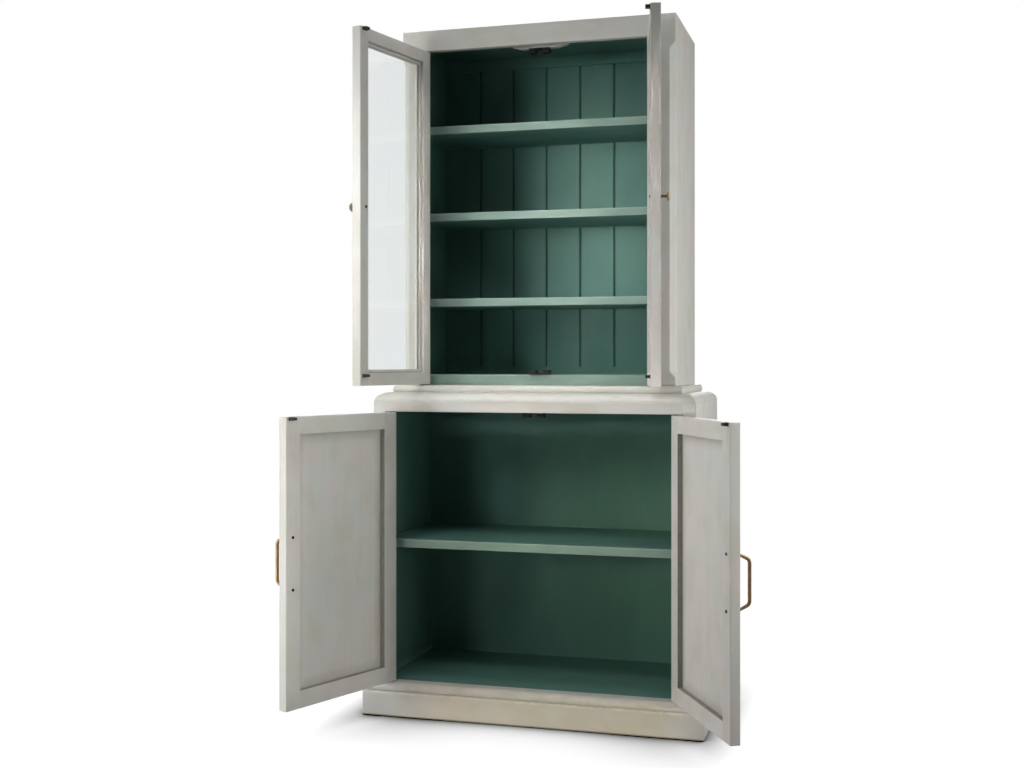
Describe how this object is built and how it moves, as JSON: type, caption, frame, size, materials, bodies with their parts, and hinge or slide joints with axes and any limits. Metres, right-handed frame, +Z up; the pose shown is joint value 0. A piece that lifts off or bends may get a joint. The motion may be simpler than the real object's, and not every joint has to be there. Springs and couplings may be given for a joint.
{
  "type": "display cabinet",
  "caption": "Tall display cabinet: a shelved hutch with glazed doors stands on a wider base with panelled doors, limed paint outside and green inside, all doors open.",
  "frame": {"origin": "on the floor, at the middle of the base's width and depth, under the plinth bearer", "axes": "+Z up, +X to the right of someone facing the doors, +Y from the doors to the back"},
  "size_m": [1.1559, 0.7823, 1.832],
  "materials": {
    "limed_paint": "brushed limed paint, satin",
    "green_paint": "eggshell paint",
    "clear_glass": "clear",
    "aged_brass": "aged satin",
    "pin_steel": "plain",
    "black_plastic": "matt"
  },
  "bodies": {
    "cabinet": {"plinth_front": "limed_paint", "plinth_left": "limed_paint", "plinth_right": "limed_paint", "plinth_back": "limed_paint", "plinth_bearer": "limed_paint", "base_left_side": "limed_paint", "base_right_side": "limed_paint", "base_left_stile": "limed_paint", "base_right_stile": "limed_paint", "base_top_rail": "limed_paint", "base_top": "limed_paint", "hutch_foot": "limed_paint", "hutch_left_side": "limed_paint", "hutch_right_side": "limed_paint", "hutch_left_stile": "limed_paint", "hutch_right_stile": "limed_paint", "hutch_frieze": "limed_paint", "hutch_top": "limed_paint", "hutch_catch_block": "limed_paint", "base_floor": "green_paint", "base_back": "green_paint", "base_shelf": "green_paint", "base_catch_block": "green_paint", "hutch_bottom": "green_paint", "hutch_back": "green_paint", "hutch_back_rail": "green_paint", "hutch_shelf_1": "green_paint", "hutch_shelf_2": "green_paint", "hutch_shelf_3": "green_paint", "hutch_top_catch": "black_plastic", "hutch_bottom_catch": "black_plastic", "base_catch": "black_plastic", "upper_left_lower_pivot": "pin_steel", "upper_left_upper_pivot": "pin_steel", "upper_right_lower_pivot": "pin_steel", "upper_right_upper_pivot": "pin_steel", "lower_left_lower_pivot": "pin_steel", "lower_left_upper_pivot": "pin_steel", "lower_right_lower_pivot": "pin_steel", "lower_right_upper_pivot": "pin_steel"},
    "upper_left_door": {"upper_left_door_frame": "limed_paint", "upper_left_glazing_bead": "limed_paint", "upper_left_glass": "clear_glass", "upper_left_knob": "aged_brass", "upper_left_upper_strike": "black_plastic", "upper_left_lower_strike": "black_plastic"},
    "upper_right_door": {"upper_right_door_frame": "limed_paint", "upper_right_glazing_bead": "limed_paint", "upper_right_glass": "clear_glass", "upper_right_knob": "aged_brass", "upper_right_upper_strike": "black_plastic", "upper_right_lower_strike": "black_plastic"},
    "lower_left_door": {"lower_left_door_frame": "limed_paint", "lower_left_panel": "limed_paint", "lower_left_handle": "aged_brass", "lower_left_strike": "black_plastic"},
    "lower_right_door": {"lower_right_door_frame": "limed_paint", "lower_right_panel": "limed_paint", "lower_right_handle": "aged_brass", "lower_right_strike": "black_plastic"}
  },
  "joints": [
    {"name": "upper_left_door_hinge", "type": "hinge", "parent": "cabinet", "child": "upper_left_door", "pos_m": [-0.3168, -0.1435, 1.3275], "axis": [0, 0, -1], "range_deg": [-102.5, 27.5]},
    {"name": "upper_right_door_hinge", "type": "hinge", "parent": "cabinet", "child": "upper_right_door", "pos_m": [0.3168, -0.1435, 1.3275], "axis": [0, 0, 1], "range_deg": [-101.7, 28.3]},
    {"name": "lower_left_door_hinge", "type": "hinge", "parent": "cabinet", "child": "lower_left_door", "pos_m": [-0.3903, -0.2035, 0.4475], "axis": [0, 0, -1], "range_deg": [-110.7, 19.3]},
    {"name": "lower_right_door_hinge", "type": "hinge", "parent": "cabinet", "child": "lower_right_door", "pos_m": [0.3903, -0.2035, 0.4475], "axis": [0, 0, 1], "range_deg": [-118.2, 11.8]}
  ]
}
